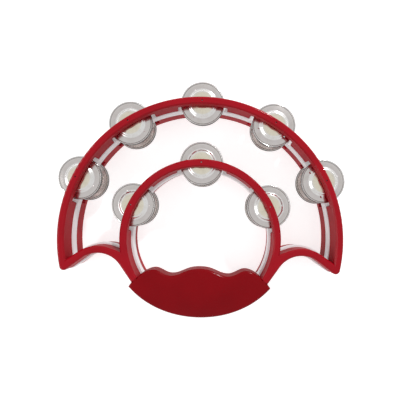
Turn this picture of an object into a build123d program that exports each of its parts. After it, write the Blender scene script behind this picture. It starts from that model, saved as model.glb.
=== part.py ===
"""Cutaway (half-moon) tambourine with two rows of jingles, in millimetres.

The tambourine lies on its back: the front face looks along +Z, the arch points along +Y and the
hand grip along -Y. The frame is a sandwich of three layers: a red back shell, a white middle
frame and a red front shell. The origin is at the middle of the underside of the whole object's box.
"""

from build123d import *
import os
from math import acos, atan2, cos, degrees, hypot, radians, sin, sqrt

os.makedirs("parts", exist_ok=True)

# ---------------------------------------------------------------- driving dimensions
RAIL_WIDTH = 7.0          # width of every rail, seen from the front
ARCH_OUTER_R = 134.8      # outside of the big arch
RING_OUTER_R = 76.0       # outside of the hand ring, on the same centre as the arch
SHELL_DEPTH = 18.0        # depth of the front shell and of the back shell
CORE_DEPTH = 10.0         # depth of the white frame between them
DEPTH = 2 * SHELL_DEPTH + CORE_DEPTH

TIE_CENTRE = (96.1, -39.2)  # centre of the curved tie between ring and horn, right side
TIE_LOWER_R = 25.3          # lower edge of the tie
TIE_UPPER_R = 32.2          # upper edge of the tie
TIE_UPPER_END = 110.0       # angle where the upper edge leaves its arc towards the ring
HORN_TIP_R = 4.0            # rounding of the horn's tip
HORN_ANGLE = -11.75         # angle of the horn's tip about the arch's centre
CORNER_ANGLE = -9.35        # angle of the inner corner between arch and tie

OUTER_EDGE_R = 2.2        # rounding of the shells' outer rim
INNER_EDGE = 1.3          # bevel of the shells' inner rim
ARCH_PROUD = 0.8          # how far the white frame stands out of the red ones, per region
TIE_PROUD = 1.5
RING_PROUD = 2.0

WINDOW_LENGTH = 48.6      # jingle window, along the rail
WINDOW_HEIGHT = 11.0      # jingle window, along the pin
WINDOW_CORNER_R = 1.5
WINDOW_REACH = 11.0       # cut this far inwards and outwards from the pin

ARCH_PIN_R = 131.0        # pins of the arch, from the centre
RING_PIN_R = 73.0         # pins of the ring
PIN_D = 2.0
PIN_CLEARANCE = 0.05      # between a pin and its bore, all round
PIN_COVER = 2.0           # depth of shell left over the end of a pin's bore
PIN_PEEP_D = 1.5          # small hole through that cover, over the pin's end
PIN_END_PLAY = 0.1

JINGLE_R = 21.0
JINGLE_HOLE_R = 2.0
JINGLE_SHEET = 0.5        # thickness of the steel sheet
JINGLE_HEIGHT = 3.6       # height of the dish, sheet included
JINGLE_SHOULDER_R = 13.6  # where the flat flange turns up into the dome
JINGLE_PLATEAU_R = 8.0
DIMPLE_R = 14.9           # three small dimples on this circle
DIMPLE_BALL_R = 1.6
DIMPLE_DEPTH = 0.25
FLANGE_TOP = 1.3          # top of the flange at that circle
PAIR_GAP = 1.4            # between the rims of the two jingles of a pair, at rest

GRIP_BOTTOM_R = 88.5      # lower edge of the grip
GRIP_BOTTOM_Y = 13.0      # centre of that edge, above the ring's centre
GRIP_CORNER = (65.4, -43.6)
GRIP_NOTCH = (64.2, -41.0)
GRIP_HUMP = (0.0, -27.4)      # finger side of the grip: middle hump, groove and side lobe
GRIP_GROOVE = (27.5, -34.1)
GRIP_LOBE = (43.5, -28.7)
BACK_GRIP_DROP = 8.0      # the back cover's finger side is lower by this much
GRIP_CROWN_R = 75.0       # crown of the grip's face, across the grip
GRIP_CROWN_Y = -42.0
GRIP_EDGE_R = 2.6
GRIP_END_HEIGHT = 20.0    # the ends are left flush with the ring over this height
GRIP_CORE_DEPTH = 8.0     # depth of each red shell inside the grip
SCREW_INSET = 12.0        # screws, inside the lower edge of the grip
GRIP_CORE_TOP = (-56.0, 98.8)    # upper edge of the red core: lowest point and radius
GRIP_PLATE_TOP = (-40.0, 300.0)  # upper edge of the white core, the same

SCREW_D = 3.0
SCREW_HEAD_D = 6.0
SCREW_HEAD_H = 1.8
SCREW_REACH = 33.0        # from the head's seat to the tip
SCREW_SEAT = 7.5          # height of the head's seat above the back
SCREW_X = (-30.0, 0.0, 30.0)

# ---------------------------------------------------------------- derived places
RING_INNER_R = RING_OUTER_R - RAIL_WIDTH
ARCH_INNER_R = ARCH_OUTER_R - RAIL_WIDTH
GRIP_LOWEST = GRIP_BOTTOM_R - GRIP_BOTTOM_Y
CENTRE_Y = (GRIP_LOWEST - ARCH_PIN_R - JINGLE_R) / 2
MID_Z = DEPTH / 2
JOINT_Z = MID_Z + CORE_DEPTH / 2      # joint between the white frame and the front shell
PAIR_Z = JOINT_Z + WINDOW_HEIGHT / 2  # middle of the front row of pairs
MID_PLANE = Plane(origin=(0, 0, MID_Z))

# name: (distance of the pin from the centre, angle from +Y towards +X, turn of its front jingle)
STATIONS = {
    "arch_1": (ARCH_PIN_R, -64, 87),
    "arch_2": (ARCH_PIN_R, -32, 90),
    "arch_3": (ARCH_PIN_R, 0, 116),
    "arch_4": (ARCH_PIN_R, 32, 70),
    "arch_5": (ARCH_PIN_R, 64, 25),
    "ring_1": (RING_PIN_R, -64, 117),
    "ring_2": (RING_PIN_R, 0, 51),
    "ring_3": (RING_PIN_R, 64, -13),
}
SINGLE_ROW = "arch_3"     # this station has a pair in the front row only
REAR_STATIONS = [name for name in STATIONS if name != SINGLE_ROW]


def level(z):
    """Drawing plane at height z, with its origin on the axis of arch and ring."""
    return Plane(origin=(0, CENTRE_Y, z))


def on_circle(centre, radius, angle):
    """Point of a circle, at an angle in degrees from +X."""
    return (centre[0] + radius * cos(radians(angle)), centre[1] + radius * sin(radians(angle)))


def heading(start, end):
    """Direction in degrees from one point to another."""
    return degrees(atan2(end[1] - start[1], end[0] - start[0]))


def distance(start, end):
    return hypot(end[0] - start[0], end[1] - start[1])


def arc(centre, radius, start, end):
    """Arc from one angle to another."""
    return ThreePointArc(on_circle(centre, radius, start), on_circle(centre, radius, (start + end) / 2),
                         on_circle(centre, radius, end))


def line_meets_circle(start, angle, radius):
    """Where a ray from a point outside first meets a circle about the centre."""
    step = (cos(radians(angle)), sin(radians(angle)))
    along = start[0] * step[0] + start[1] * step[1]
    reach = -along - sqrt(along**2 - distance((0, 0), start) ** 2 + radius**2)
    return (start[0] + reach * step[0], start[1] + reach * step[1])


def silhouette(plane, arch_proud, tie_proud):
    """Outer contour: arch, rounded horns, concave tie edges, and the core of the grip below."""
    centre = (0, 0)
    arch_r = ARCH_OUTER_R + arch_proud
    tip_r = HORN_TIP_R + arch_proud
    low_r = TIE_LOWER_R - tie_proud
    ring_r = RING_OUTER_R + tie_proud
    horn = on_circle(centre, ARCH_OUTER_R - HORN_TIP_R, HORN_ANGLE)
    to_horn = heading(TIE_CENTRE, horn)
    horn_turn = degrees(acos((tip_r + low_r) / distance(TIE_CENTRE, horn)))
    to_ring = heading(TIE_CENTRE, centre)
    ring_turn = degrees(acos((ring_r + low_r) / distance(TIE_CENTRE, centre)))
    grip_centre = (0, GRIP_BOTTOM_Y)
    with BuildSketch(plane) as profile:
        with BuildLine():
            rim = arc(centre, arch_r, 90, HORN_ANGLE)
            tip = arc(horn, tip_r, HORN_ANGLE, to_horn + horn_turn - 180)
            tie = arc(TIE_CENTRE, low_r, to_horn + horn_turn, to_ring - ring_turn)
            Line(tip @ 1, tie @ 0)
            neck_end = on_circle(centre, ring_r, to_ring - ring_turn - 180)
            Line(tie @ 1, neck_end)
            grip_r = distance(grip_centre, neck_end)
            bottom = arc(grip_centre, grip_r, heading(grip_centre, neck_end), -90)
            Line(bottom @ 1, rim @ 0)
        make_face()
        mirror(about=Plane.YZ)
    return profile.sketch


def crescent(plane, arch_proud, tie_proud):
    """The gap between arch and ring, closed below by the ties."""
    centre = (0, 0)
    arch_r = ARCH_INNER_R - arch_proud
    tie_r = TIE_UPPER_R + tie_proud
    ring_r = RING_OUTER_R + tie_proud
    corner_angle = CORNER_ANGLE + degrees(1.2 * tie_proud / arch_r)
    corner = on_circle(centre, arch_r, corner_angle)
    tie_start = heading(TIE_CENTRE, corner) + degrees(acos(tie_r / distance(TIE_CENTRE, corner)))
    with BuildSketch(plane) as profile:
        with BuildLine():
            rim = arc(centre, arch_r, 90, corner_angle)
            tie = arc(TIE_CENTRE, tie_r, tie_start, TIE_UPPER_END)
            Line(rim @ 1, tie @ 0)
            tie_end = on_circle(TIE_CENTRE, tie_r, TIE_UPPER_END)
            ring_meet = line_meets_circle(tie_end, TIE_UPPER_END + 90, ring_r)
            Line(tie_end, ring_meet)
            ring = arc(centre, ring_r, heading(centre, ring_meet), 90)
            Line(ring @ 1, rim @ 0)
        make_face()
        mirror(about=Plane.YZ)
    return profile.sketch


def hand_hole(plane, ring_proud, rest):
    """The hole for the hand, closed below by the core of the grip."""
    rest_y, rest_r = rest
    with BuildSketch(plane) as profile:
        Circle(RING_INNER_R - ring_proud)
        with Locations((0, rest_y + rest_r)):
            Circle(rest_r, mode=Mode.INTERSECT)
    return profile.sketch


def frame_profile(plane, arch_proud=0.0, tie_proud=0.0, ring_proud=0.0, rest=GRIP_CORE_TOP):
    """Face of one frame layer: the silhouette less the crescent and the hand hole."""
    outline = silhouette(plane, arch_proud, tie_proud)
    gap = crescent(plane, arch_proud, tie_proud)
    hole = hand_hole(plane, ring_proud, rest)
    with BuildSketch(plane) as profile:
        add(plane.to_local_coords(outline))
        add(plane.to_local_coords(gap), mode=Mode.SUBTRACT)
        add(plane.to_local_coords(hole), mode=Mode.SUBTRACT)
    return profile.sketch


def grip_profile(plane, drop):
    """Outline of the grip: lower arc, short ends, and a finger side with grooves."""
    grip_centre = (0, GRIP_BOTTOM_Y)
    with BuildSketch(plane) as profile:
        with BuildLine():
            bottom = arc(grip_centre, GRIP_BOTTOM_R, heading(grip_centre, GRIP_CORNER), -90)
            Line(bottom @ 0, GRIP_NOTCH)
            fingers = Spline(
                GRIP_NOTCH,
                (GRIP_LOBE[0], GRIP_LOBE[1] - drop),
                (GRIP_GROOVE[0], GRIP_GROOVE[1] - drop),
                (GRIP_HUMP[0], GRIP_HUMP[1] - drop),
                tangents=[(-0.72, 0.69), (-1, 0), (-1, 0), (-1, 0)],
            )
            Line(fingers @ 1, bottom @ 1)
        make_face()
        mirror(about=Plane.YZ)
    return profile.sketch


def pin_spots():
    """Positions of all the pins, in the plane of the frame."""
    return [on_circle((0, 0), pin_r, 90 - angle) for pin_r, angle, _ in STATIONS.values()]


def screw_spots():
    """Positions of the grip's screws, in a row along its core."""
    row_r = GRIP_BOTTOM_R - SCREW_INSET
    return [(x, GRIP_BOTTOM_Y - sqrt(row_r**2 - x**2)) for x in SCREW_X]


def window_plane(name):
    """Plane across the rail at a station, at the joint's height, looking out from the centre."""
    pin_r, angle, _ = STATIONS[name]
    spot = on_circle((0, CENTRE_Y), pin_r, 90 - angle)
    outward = (sin(radians(angle)), cos(radians(angle)), 0)
    along = (cos(radians(angle)), -sin(radians(angle)), 0)
    return Plane(origin=(spot[0], spot[1], JOINT_Z), x_dir=along, z_dir=outward)


def red_shell(names, grip_drop):
    """Front red layer, with a window at each named station, pin bores, and a slim grip core."""
    with BuildPart() as shell:
        add(frame_profile(level(JOINT_Z)))
        extrude(amount=SHELL_DEPTH)
        for name in names:
            with BuildSketch(window_plane(name).offset(-WINDOW_REACH)):
                Rectangle(WINDOW_LENGTH, 2 * WINDOW_HEIGHT)
                fillet(vertices(), WINDOW_CORNER_R)
            extrude(amount=2 * WINDOW_REACH, mode=Mode.SUBTRACT)
        with BuildSketch(level(JOINT_Z)):
            with Locations(pin_spots()):
                Circle(PIN_D / 2 + PIN_CLEARANCE)
        extrude(amount=SHELL_DEPTH - PIN_COVER, mode=Mode.SUBTRACT)
        with BuildSketch(level(JOINT_Z)):
            with Locations(screw_spots()):
                Circle(SCREW_D / 2)
        extrude(amount=SHELL_DEPTH, mode=Mode.SUBTRACT)
        crescent_rim = shell.faces().sort_by(Axis.Z)[-1].inner_wires().sort_by(SortBy.LENGTH)[-1]
        chamfer(crescent_rim.edges(), INNER_EDGE)
        outer_rim = shell.faces().sort_by(Axis.Z)[-1].outer_wire().edges()
        fillet(outer_rim.sort_by(Axis.Y)[1:], OUTER_EDGE_R)  # all but the edge inside the grip
        add(grip_profile(level(JOINT_Z + GRIP_CORE_DEPTH), grip_drop))
        extrude(amount=SHELL_DEPTH, mode=Mode.SUBTRACT)
        with Locations((0, CENTRE_Y, DEPTH - INNER_EDGE / 2)):
            Cone(RING_INNER_R, RING_INNER_R + INNER_EDGE, INNER_EDGE, mode=Mode.SUBTRACT)
        with BuildSketch(level(DEPTH)):
            with Locations(pin_spots()):
                Circle(PIN_PEEP_D / 2)
        extrude(amount=-SHELL_DEPTH, mode=Mode.SUBTRACT)
    return shell.part


def crowned_grip(drop):
    """The grip's outline, as a block with a crowned face and sharp edges."""
    with BuildPart() as block:
        add(grip_profile(level(JOINT_Z), drop))
        extrude(amount=SHELL_DEPTH + GRIP_EDGE_R)
        with BuildSketch(Plane.YZ):
            with Locations((CENTRE_Y + GRIP_CROWN_Y, DEPTH - GRIP_CROWN_R)):
                Circle(GRIP_CROWN_R)
        extrude(amount=ARCH_OUTER_R, both=True, mode=Mode.INTERSECT)
    return block.part


def flush_ends(drop):
    """The parts of that block that carry on the ring's rail, with no rounding across it."""
    with BuildPart() as ends:
        add(crowned_grip(drop))
        with BuildSketch(level(JOINT_Z)):
            Circle(RING_OUTER_R - OUTER_EDGE_R)
            Circle(RING_INNER_R + INNER_EDGE, mode=Mode.SUBTRACT)
            with Locations((0, GRIP_CROWN_Y)):
                Rectangle(2 * ARCH_OUTER_R, GRIP_END_HEIGHT, mode=Mode.INTERSECT)
        extrude(amount=SHELL_DEPTH, mode=Mode.INTERSECT)
    return ends.part


def grip_cover(drop):
    """Front grip cover: a crowned shell that sits over the core like a saddle."""
    rail_ends = flush_ends(drop)
    with BuildPart() as cover:
        add(crowned_grip(drop))
        crown = cover.faces().filter_by(GeomType.CYLINDER).sort_by(Axis.Z)[-1]
        fillet(crown.edges(), GRIP_EDGE_R)
        add(rail_ends)
        add(frame_profile(level(JOINT_Z)))
        extrude(amount=GRIP_CORE_DEPTH, mode=Mode.SUBTRACT)
        with BuildSketch(level(JOINT_Z)):
            with Locations(screw_spots()):
                Circle(SCREW_D / 2)
        extrude(amount=SCREW_SEAT + SCREW_REACH - JOINT_Z, mode=Mode.SUBTRACT)
    return cover.part


def save(part, name):
    """Label a finished piece and write its STEP file."""
    part.label = name
    export_step(part, f"parts/{name}.step")


# ---------------------------------------------------------------- red shells
front_layer = red_shell(list(STATIONS), 0.0)
back_layer = red_shell(REAR_STATIONS, BACK_GRIP_DROP)

with BuildPart() as front_shell:
    add(front_layer)

with BuildPart() as back_shell:
    mirror(back_layer, about=MID_PLANE)

# ---------------------------------------------------------------- white middle frame
with BuildPart() as middle_frame:
    core_z = MID_Z - CORE_DEPTH / 2
    add(frame_profile(level(core_z), ARCH_PROUD, TIE_PROUD, RING_PROUD, GRIP_PLATE_TOP))
    extrude(amount=CORE_DEPTH)
    with BuildSketch(level(core_z)):
        with Locations(pin_spots()):
            Circle(PIN_D / 2 + PIN_CLEARANCE)
        with Locations(screw_spots()):
            Circle(SCREW_D / 2)
    extrude(amount=CORE_DEPTH, mode=Mode.SUBTRACT)

# ---------------------------------------------------------------- grip covers and their screws
front_saddle = grip_cover(0.0)
back_saddle = grip_cover(BACK_GRIP_DROP)

with BuildPart() as front_grip_cover:
    add(front_saddle)

with BuildPart() as back_grip_cover:
    mirror(back_saddle, about=MID_PLANE)
    with BuildSketch(level(0)):
        with Locations(screw_spots()):
            Circle(SCREW_D / 2)
    extrude(amount=SHELL_DEPTH, mode=Mode.SUBTRACT)
    with BuildSketch(level(0)):
        with Locations(screw_spots()):
            Circle(SCREW_HEAD_D / 2)
    extrude(amount=SCREW_SEAT, mode=Mode.SUBTRACT)

with BuildPart() as grip_screws:
    with BuildSketch(level(SCREW_SEAT)):
        with Locations(screw_spots()):
            Circle(SCREW_D / 2)
    extrude(amount=SCREW_REACH)
    with BuildSketch(level(SCREW_SEAT - SCREW_HEAD_H)):
        with Locations(screw_spots()):
            Circle(SCREW_HEAD_D / 2)
    extrude(amount=SCREW_HEAD_H)

# ---------------------------------------------------------------- jingle, rim plane at z = 0
with BuildPart() as jingle:
    dome_z = JINGLE_HEIGHT - JINGLE_SHEET
    with BuildSketch(Plane.XZ):
        with BuildLine():
            FilletPolyline(
                (JINGLE_R - 0.22, 0),
                (JINGLE_R - 1.1, 0.45),
                (JINGLE_SHOULDER_R, 0.9),
                (JINGLE_SHOULDER_R - 2.0, 2.6),
                (JINGLE_PLATEAU_R - 1.0, dome_z),
                (JINGLE_HOLE_R, dome_z),
                radius=0.8,
            )
            offset(amount=JINGLE_SHEET, side=Side.RIGHT)
        make_face()
    revolve(axis=Axis.Z)
    with PolarLocations(DIMPLE_R, 3):
        with Locations((0, 0, FLANGE_TOP + DIMPLE_BALL_R - DIMPLE_DEPTH)):
            Sphere(DIMPLE_BALL_R, mode=Mode.SUBTRACT)

# ---------------------------------------------------------------- write the pieces
save(front_shell.part, "front_shell")
save(middle_frame.part, "middle_frame")
save(back_shell.part, "back_shell")
save(front_grip_cover.part, "front_grip_cover")
save(back_grip_cover.part, "back_grip_cover")
save(grip_screws.part, "grip_screws")

for name, (pin_r, angle, turn) in STATIONS.items():
    x, y = on_circle((0, CENTRE_Y), pin_r, 90 - angle)
    with BuildPart() as jingle_pin:
        with BuildSketch(Plane(origin=(x, y, PIN_COVER + PIN_END_PLAY))):
            Circle(PIN_D / 2)
        extrude(amount=DEPTH - 2 * (PIN_COVER + PIN_END_PLAY))
    save(jingle_pin.part, f"{name}_pin")

    rows = {"front": PAIR_Z, "rear": DEPTH - PAIR_Z}
    if name == SINGLE_ROW:
        del rows["rear"]
    for row, pair_z in rows.items():
        upper = Location((x, y, pair_z + PAIR_GAP / 2), (0, 0, turn))
        lower = Location((x, y, pair_z - PAIR_GAP / 2), (180, 0, turn + 50))
        save(jingle.part.moved(upper), f"{name}_{row}_jingle_a")
        save(jingle.part.moved(lower), f"{name}_{row}_jingle_b")
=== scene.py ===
"""Looks of the cutaway tambourine: moulded plastics, stamped nickel jingles, and a plain studio.

Lengths are in metres, in the frame of the CAD model. MM turns millimetres into metres.
"""

import math

import bmesh
import bpy
from mathutils import Matrix, Vector


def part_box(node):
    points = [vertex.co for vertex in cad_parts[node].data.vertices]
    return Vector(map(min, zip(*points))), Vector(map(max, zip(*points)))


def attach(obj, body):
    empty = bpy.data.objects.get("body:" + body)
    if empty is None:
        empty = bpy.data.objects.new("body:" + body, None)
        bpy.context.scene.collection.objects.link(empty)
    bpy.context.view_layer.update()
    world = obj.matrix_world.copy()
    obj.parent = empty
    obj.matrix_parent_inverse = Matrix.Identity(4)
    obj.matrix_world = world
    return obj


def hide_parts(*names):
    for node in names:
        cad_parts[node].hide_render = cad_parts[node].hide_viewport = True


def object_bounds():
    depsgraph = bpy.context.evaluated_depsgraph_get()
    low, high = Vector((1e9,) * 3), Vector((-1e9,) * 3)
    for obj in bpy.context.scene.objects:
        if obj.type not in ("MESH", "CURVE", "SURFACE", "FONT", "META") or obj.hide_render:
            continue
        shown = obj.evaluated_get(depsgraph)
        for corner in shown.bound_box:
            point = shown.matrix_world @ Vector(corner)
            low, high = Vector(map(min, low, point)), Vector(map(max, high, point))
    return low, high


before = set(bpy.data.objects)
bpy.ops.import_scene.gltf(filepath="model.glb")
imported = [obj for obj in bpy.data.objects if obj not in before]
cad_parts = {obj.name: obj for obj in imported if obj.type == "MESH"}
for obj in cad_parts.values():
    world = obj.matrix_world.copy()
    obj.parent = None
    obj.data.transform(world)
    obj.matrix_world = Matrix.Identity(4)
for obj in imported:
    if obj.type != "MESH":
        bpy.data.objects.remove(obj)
cad_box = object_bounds()

MM = 0.001

# ---------------------------------------------------------------- sizes of the stamped jingle
JINGLE_R = 21.0 * MM
HOLE_R = 2.0 * MM
SHEET = 0.5 * MM
BEAD_R = 0.55 * MM        # rolled bead along the rim
FLANGE_Z = 0.35 * MM      # underside of the flange beside the bead
SHOULDER_Z = 0.85 * MM    # underside of the flange at the foot of the shoulder
SHOULDER_R = 14.2 * MM
DOME_R = 11.2 * MM
DOME_Z = 2.75 * MM
CROWN_Z = 3.1 * MM
DIMPLE_CIRCLE_R = 14.9 * MM
DIMPLE_R = 0.95 * MM
DIMPLE_DEPTH = 0.42 * MM
GROOVE = 0.3 * MM         # between the flange and the bead
TURN_STEPS = 168
SHEET_STEPS = 52
BEAD_STEPS = 16

RING_PIN_R = 73.0 * MM    # from the ring's centre to its pins

# ---------------------------------------------------------------- studio
FLOOR_HALF = 40.0
FLOOR_GAP = 0.3 * MM      # under the back face, so the two don't flicker
WORLD_STRENGTH = 0.66
KEY_PLACE = (0.55, 1.10, 0.80)
KEY_SIZE = 0.09
KEY_POWER = 10.0
FILL_PLACE = (-0.95, -0.30, 0.55)
FILL_SIZE = 0.80
FILL_POWER = 3.0
LIGHT_AIM = (0.0, 0.0, 0.02)
LENS = 29.55              # on a 36 mm sensor
SHIFT = (-0.035, 0.025)
EYE_X = 12.65 * MM
EYE_OVER_RING_Y = 28.25 * MM
EYE_HEIGHT = 307.0 * MM   # over the front face
EYE_ROLL = 0.9            # degrees

# ---------------------------------------------------------------- jingle turns
ROW_TURN = {"front": 0.0, "rear": 37.0}
SIDE_TURN = {"a": 0.0, "b": 50.0}

# angle of the first dimple of each front jingle, in degrees from +X
DIMPLE_TURN = {
    "arch_1": 87, "arch_2": 90, "arch_3": 116, "arch_4": 70,
    "arch_5": 25, "ring_1": 117, "ring_2": 51, "ring_3": -13,
}


# ---------------------------------------------------------------- shader helpers
class Shader:
    """A node material with one Principled shader, and short calls that add nodes to it."""

    def __init__(self, name):
        self.material = bpy.data.materials.new(name)
        self.material.use_nodes = True
        self.nodes = self.material.node_tree.nodes
        self.links = self.material.node_tree.links
        self.principled = self.nodes["Principled BSDF"]
        self.place = self.nodes.new("ShaderNodeTexCoord").outputs["Object"]

    def add(self, kind, inputs=None, **settings):
        """A node with some settings and inputs; an input may be a value or another node's output."""
        node = self.nodes.new(kind)
        for key, value in settings.items():
            setattr(node, key, value)
        for key, value in (inputs or {}).items():
            self.put(node.inputs[key], value)
        return node

    def put(self, socket, value):
        if isinstance(value, bpy.types.NodeSocket):
            self.links.new(value, socket)
        else:
            socket.default_value = value

    def set(self, **inputs):
        """Inputs of the Principled shader, with underscores for spaces."""
        for key, value in inputs.items():
            self.put(self.principled.inputs[key.replace("_", " ")], value)

    def noise(self, scale, detail=2.0, roughness=0.5):
        node = self.add("ShaderNodeTexNoise",
                        {"Vector": self.place, "Scale": scale, "Detail": detail, "Roughness": roughness})
        return node.outputs["Fac"]

    def scratches(self, scale, stretch):
        """Fine noise drawn out along one direction."""
        mapping = self.add("ShaderNodeMapping", {"Vector": self.place, "Scale": stretch})
        node = self.add("ShaderNodeTexNoise",
                        {"Vector": mapping.outputs["Vector"], "Scale": scale, "Detail": 3.0})
        return node.outputs["Fac"]

    def spread(self, value, low, high, to_low=0.0, to_high=1.0):
        """value, remapped from one range to another and clamped."""
        node = self.add("ShaderNodeMapRange", {"Value": value, "From Min": low, "From Max": high,
                                               "To Min": to_low, "To Max": to_high})
        return node.outputs["Result"]

    def blend(self, factor, first, second):
        """Mix of two colours."""
        node = self.add("ShaderNodeMix", data_type="RGBA")
        self.put(node.inputs[0], factor)
        self.put(node.inputs[6], first)
        self.put(node.inputs[7], second)
        return node.outputs[2]

    def math(self, operation, first, second=0.0):
        node = self.add("ShaderNodeMath", {0: first, 1: second}, operation=operation)
        return node.outputs["Value"]

    def ramp(self, value, stops):
        """Colour ramp with (position, grey or colour) stops."""
        node = self.add("ShaderNodeValToRGB", {"Fac": value})
        elements = node.color_ramp.elements
        while len(elements) < len(stops):
            elements.new(0.5)
        for element, (position, colour) in zip(elements, stops):
            element.position = position
            element.color = (*colour, 1.0)
        return node.outputs["Color"]

    def radius(self):
        """Distance from the piece's own Z axis."""
        flat = self.add("ShaderNodeVectorMath", {0: self.place, 1: (1.0, 1.0, 0.0)}, operation="MULTIPLY")
        length = self.add("ShaderNodeVectorMath", {0: flat.outputs["Vector"]}, operation="LENGTH")
        return length.outputs["Value"]

    def side_mask(self):
        """1 on walls parallel to the piece's own Z axis and 0 on faces across it."""
        normal = self.add("ShaderNodeTexCoord").outputs["Normal"]
        height = self.add("ShaderNodeSeparateXYZ", {"Vector": normal}).outputs["Z"]
        return self.spread(self.math("ABSOLUTE", height), 0.5, 0.1)

    def edge_mask(self, reach):
        """1 on edges and 0 away from them: how far a rounded normal leaves the true one."""
        rounded = self.add("ShaderNodeBevel", {"Radius": reach}, samples=4)
        true_normal = self.add("ShaderNodeNewGeometry").outputs["Normal"]
        dot = self.add("ShaderNodeVectorMath", {0: rounded.outputs["Normal"], 1: true_normal},
                       operation="DOT_PRODUCT")
        return self.spread(dot.outputs["Value"], 0.995, 0.9)

    def bump(self, height, strength, distance):
        node = self.add("ShaderNodeBump", {"Height": height, "Strength": strength, "Distance": distance})
        if self.principled.inputs["Normal"].links:
            self.links.new(self.principled.inputs["Normal"].links[0].from_socket, node.inputs["Normal"])
        self.set(Normal=node.outputs["Normal"])


# ---------------------------------------------------------------- materials
def moulded_plastic(name, colour, worn, roughness, grain, gloss, painted_glow=0.0, painted_wall_shade=1.0):
    """Moulding with gloss faces and satin walls: slow colour drift, grain, scratches, paler edges; the walls
    can get a darker copy of the colour as painted shade, and the piece can get a painted glow of white
    emission.
    """
    shader = Shader(name)
    drift = shader.spread(shader.noise(38.0, 3.0), 0.3, 0.7)
    darker = tuple(channel * 0.86 for channel in colour)
    body = shader.blend(drift, (*darker, 1.0), (*colour, 1.0))
    rub = shader.spread(shader.noise(260.0, 4.0, 0.6), 0.45, 0.75, 0.05, 0.3)
    edge = shader.math("MULTIPLY", shader.edge_mask(0.8 * MM), rub)
    scuffs = shader.spread(shader.scratches(220.0, (1.0, 9.0, 3.0)), 0.62, 0.78)
    walls = shader.side_mask()
    # painted shade: walls get a darker copy of the same colour, scaled by the wall shade factor
    painted_shade_wall_colour = tuple(channel * painted_wall_shade for channel in colour)
    body = shader.blend(walls, body, (*painted_shade_wall_colour, 1.0)) if painted_wall_shade < 1.0 else body
    polish = shader.spread(scuffs, 0.0, 1.0, roughness, roughness + 0.16)
    # the emission set below is a painted glow: the piece gives off light though it is no lamp
    shader.set(Base_Color=shader.blend(edge, body, (*worn, 1.0)),
               Roughness=shader.math("MAXIMUM", polish, shader.math("MULTIPLY", walls, 0.5)),
               Specular_IOR_Level=shader.spread(walls, 0.0, 1.0, gloss, 0.6 * gloss),
               Emission_Color=(1.0, 1.0, 1.0, 1.0), Emission_Strength=painted_glow)
    shader.bump(shader.noise(grain, 2.0), 0.10, 0.05 * MM)
    shader.bump(shader.noise(120.0, 1.0), 0.12, 0.12 * MM)
    shader.bump(scuffs, 0.05, 0.02 * MM)
    return shader.material


def jingle_metal(name):
    """Nickel plate coloured ring by ring: painted highlights on the shoulder and bead, painted dark lines at
    the groove and rim, grey brushed flange and a warm crown.
    """
    shader = Shader(name)
    share = shader.math("DIVIDE", shader.radius(), JINGLE_R)
    # rings by radius, mostly painted light: the white shoulder band is a painted highlight, the bead is
    # brighter partly as plate and partly as painted highlight, the near-black lines at groove and rim are
    # painted shade
    painted_light_rings = shader.ramp(share, [
        (0.00, (0.66, 0.58, 0.42)), (0.22, (0.93, 0.86, 0.68)), (0.48, (0.97, 0.91, 0.77)),
        (0.54, (0.99, 0.98, 0.96)), (0.67, (0.99, 0.98, 0.97)), (0.71, (0.78, 0.73, 0.72)),
        (0.915, (0.80, 0.76, 0.74)), (0.932, (0.10, 0.09, 0.09)), (0.955, (0.90, 0.88, 0.87)),
        (0.978, (0.95, 0.93, 0.92)), (0.992, (0.06, 0.06, 0.06))])
    tarnish = shader.spread(shader.noise(170.0, 5.0, 0.65), 0.42, 0.72, 0.0, 0.22)
    shader.set(Base_Color=shader.blend(tarnish, painted_light_rings, (0.52, 0.46, 0.37, 1.0)), Metallic=1.0)
    rings = shader.add("ShaderNodeTexNoise", {"Scale": 2600.0, "Detail": 2.0}, noise_dimensions="1D")
    shader.put(rings.inputs["W"], shader.radius())
    smudge = shader.noise(90.0, 3.0)
    shader.set(Roughness=shader.spread(smudge, 0.3, 0.7, 0.13, 0.24))
    shader.bump(rings.outputs["Fac"], 0.12, 0.02 * MM)
    shader.bump(shader.noise(420.0, 3.0), 0.08, 0.05 * MM)
    return shader.material


def drawn_steel(name, shade):
    """Drawn steel wire and screws: lengthwise lines and slight staining."""
    shader = Shader(name)
    lines = shader.scratches(900.0, (1.0, 1.0, 0.05))
    stain = shader.spread(shader.noise(300.0, 4.0), 0.4, 0.7)
    light = (shade, shade, shade * 1.02, 1.0)
    dark = (shade * 0.55, shade * 0.52, shade * 0.5, 1.0)
    shader.set(Base_Color=shader.blend(stain, light, dark), Metallic=1.0,
               Roughness=shader.spread(lines, 0.3, 0.7, 0.22, 0.42))
    shader.bump(lines, 0.15, 0.03 * MM)
    return shader.material


def studio_floor(name):
    """Pale matt floor that gives off a little light of its own, so shadows stay soft."""
    shader = Shader(name)
    tone = shader.spread(shader.noise(6.0, 3.0), 0.3, 0.7, 0.60, 0.64)
    colour = shader.add("ShaderNodeCombineColor", {"Red": tone, "Green": tone, "Blue": tone})
    shader.set(Base_Color=colour.outputs["Color"], Roughness=0.9, Specular_IOR_Level=0.1,
               Emission_Color=(1.0, 1.0, 1.0, 1.0), Emission_Strength=0.72)
    return shader.material


RED = moulded_plastic("shell_red", (0.38, 0.0034, 0.012), (0.44, 0.05, 0.07), 0.11, 2600.0, 0.17)
GRIP_RED = moulded_plastic("grip_red", (0.25, 0.0009, 0.0045), (0.34, 0.03, 0.04), 0.14, 1800.0, 0.12)
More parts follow.
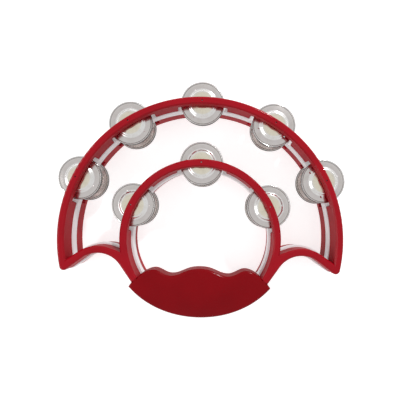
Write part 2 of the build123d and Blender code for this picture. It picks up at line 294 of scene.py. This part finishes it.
# white frame: 0.80 darker walls as painted shade, and 0.10 white emission as a painted glow
WHITE = moulded_plastic("frame_white", (0.92, 0.925, 0.94), (0.95, 0.95, 0.94), 0.30, 2200.0, 0.2, 0.10, 0.80)
NICKEL = jingle_metal("jingle_nickel")
PIN_STEEL = drawn_steel("pin_steel", 0.62)
SCREW_STEEL = drawn_steel("screw_steel", 0.50)


def repaint(node, material):
    """A CAD node kept as it is, with a better material."""
    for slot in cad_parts[node].material_slots:
        slot.material = material


for node in ("front_shell", "back_shell"):
    repaint(node, RED)
for node in ("front_grip_cover", "back_grip_cover"):
    repaint(node, GRIP_RED)
repaint("middle_frame", WHITE)
repaint("grip_screws", SCREW_STEEL)
for station in DIMPLE_TURN:
    repaint(f"{station}_pin", PIN_STEEL)


# ---------------------------------------------------------------- stamped jingles
def smooth_step(value, start, end):
    share = min(max((value - start) / (end - start), 0.0), 1.0)
    return share * share * (3.0 - 2.0 * share)


def underside(radius):
    """Height of the sheet's underside over the rim plane."""
    flange = FLANGE_Z + (SHOULDER_Z - FLANGE_Z) * smooth_step(radius, JINGLE_R, SHOULDER_R)
    rise = (DOME_Z - SHOULDER_Z) * smooth_step(radius, SHOULDER_R, DOME_R)
    crown = (CROWN_Z - DOME_Z) * smooth_step(radius, DOME_R, 5.0 * MM)
    lip = 0.12 * MM * smooth_step(radius, HOLE_R + 1.2 * MM, HOLE_R)
    return flange + rise + crown - lip


def dimple(x, y):
    """Depth of the three pressed dimples at a point."""
    depth = 0.0
    for step in range(3):
        turn = math.radians(120.0 * step)
        centre = Vector((DIMPLE_CIRCLE_R * math.cos(turn), DIMPLE_CIRCLE_R * math.sin(turn)))
        away = (Vector((x, y)) - centre).length / DIMPLE_R
        depth += DIMPLE_DEPTH * math.exp(-away ** 4)
    return depth


def jingle_profile():
    """Closed section of the jingle as (radius, height): top, rolled bead, underside, hole."""
    join = math.radians(150.0)
    bead_centre = JINGLE_R - BEAD_R
    edge = bead_centre + BEAD_R * math.cos(join)
    radii = [HOLE_R + (edge - GROOVE - HOLE_R) * step / SHEET_STEPS for step in range(SHEET_STEPS + 1)]
    section = [(radius, underside(radius) + SHEET) for radius in radii]
    for step in range(BEAD_STEPS + 1):
        turn = join - 2.0 * join * step / BEAD_STEPS
        section.append((bead_centre + BEAD_R * math.cos(turn), BEAD_R * (1.0 + math.sin(turn))))
    section += [(radius, underside(radius)) for radius in reversed(radii)]
    return section


def jingle_mesh():
    """Lathe of the section, with the dimples pressed into both skins."""
    mesh = bpy.data.meshes.new("jingle")
    shape = bmesh.new()
    section = jingle_profile()
    loops = []
    for step in range(TURN_STEPS):
        turn = 2.0 * math.pi * step / TURN_STEPS
        loop = []
        for radius, height in section:
            x = radius * math.cos(turn)
            y = radius * math.sin(turn)
            loop.append(shape.verts.new((x, y, height - dimple(x, y))))
        loops.append(loop)
    for step in range(TURN_STEPS):
        here = loops[step]
        there = loops[(step + 1) % TURN_STEPS]
        for index in range(len(section)):
            after = (index + 1) % len(section)
            shape.faces.new((here[index], there[index], there[after], here[after]))
    bmesh.ops.recalc_face_normals(shape, faces=shape.faces)
    for face in shape.faces:
        face.smooth = True
    shape.to_mesh(mesh)
    shape.free()
    mesh.materials.append(NICKEL)
    return mesh


JINGLE = jingle_mesh()


def place_jingle(node, turn, dome_up):
    """One jingle over its CAD node, turned about the pin."""
    low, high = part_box(node)
    piece = bpy.data.objects.new(f"{node}_stamped", JINGLE)
    bpy.context.scene.collection.objects.link(piece)
    rim_z = low[2] if dome_up else high[2]
    centre = Vector(((low[0] + high[0]) / 2, (low[1] + high[1]) / 2, rim_z))
    flip = Matrix.Identity(4) if dome_up else Matrix.Rotation(math.pi, 4, "X")
    piece.matrix_world = Matrix.Translation(centre) @ Matrix.Rotation(math.radians(turn), 4, "Z") @ flip
    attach(piece, node)
    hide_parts(node)


for station, first_dimple in DIMPLE_TURN.items():
    for row, row_turn in ROW_TURN.items():
        for side, side_turn in SIDE_TURN.items():
            node = f"{station}_{row}_jingle_{side}"
            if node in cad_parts:
                place_jingle(node, first_dimple + row_turn + side_turn, side == "a")


# ---------------------------------------------------------------- floor, lights and camera
def add_floor():
    """Large square floor just under the back face."""
    mesh = bpy.data.meshes.new("floor")
    corners = [(FLOOR_HALF * x, FLOOR_HALF * y, 0.0) for x, y in ((-1, -1), (1, -1), (1, 1), (-1, 1))]
    mesh.from_pydata(corners, [], [(0, 1, 2, 3)])
    mesh.materials.append(studio_floor("floor"))
    floor = bpy.data.objects.new("floor", mesh)
    floor.location.z = -FLOOR_GAP
    bpy.context.scene.collection.objects.link(floor)


def add_softbox(name, place, size, power):
    """Square area light that faces the middle of the object."""
    light = bpy.data.lights.new(name, "AREA")
    light.size = size
    light.energy = power
    lamp = bpy.data.objects.new(name, light)
    lamp.location = place
    aim = Vector(LIGHT_AIM) - Vector(place)
    lamp.rotation_euler = aim.to_track_quat("-Z", "Y").to_euler()
    bpy.context.scene.collection.objects.link(lamp)


def add_world(strength):
    """Even white surroundings."""
    world = bpy.data.worlds.new("studio")
    world.use_nodes = True
    background = world.node_tree.nodes["Background"]
    background.inputs["Color"].default_value = (1.0, 1.0, 1.0, 1.0)
    background.inputs["Strength"].default_value = strength
    bpy.context.scene.world = world


def add_camera():
    """Straight above the front face, a little above the ring's centre, rolled by under a degree."""
    low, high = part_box("ring_2_pin")
    ring_y = (low[1] + high[1]) / 2 - RING_PIN_R
    camera = bpy.data.cameras.new("camera")
    camera.sensor_width = 36.0
    camera.lens = LENS
    camera.shift_x, camera.shift_y = SHIFT
    camera.clip_start = 0.01
    eye = bpy.data.objects.new("camera", camera)
    eye.location = (EYE_X, ring_y + EYE_OVER_RING_Y, cad_box[1][2] + EYE_HEIGHT)
    eye.rotation_euler = (0.0, 0.0, math.radians(EYE_ROLL))
    bpy.context.scene.collection.objects.link(eye)
    bpy.context.scene.camera = eye


add_floor()
add_world(WORLD_STRENGTH)
add_softbox("key", KEY_PLACE, KEY_SIZE, KEY_POWER)
add_softbox("fill", FILL_PLACE, FILL_SIZE, FILL_POWER)
add_camera()
bpy.context.scene.view_settings.view_transform = "Standard"
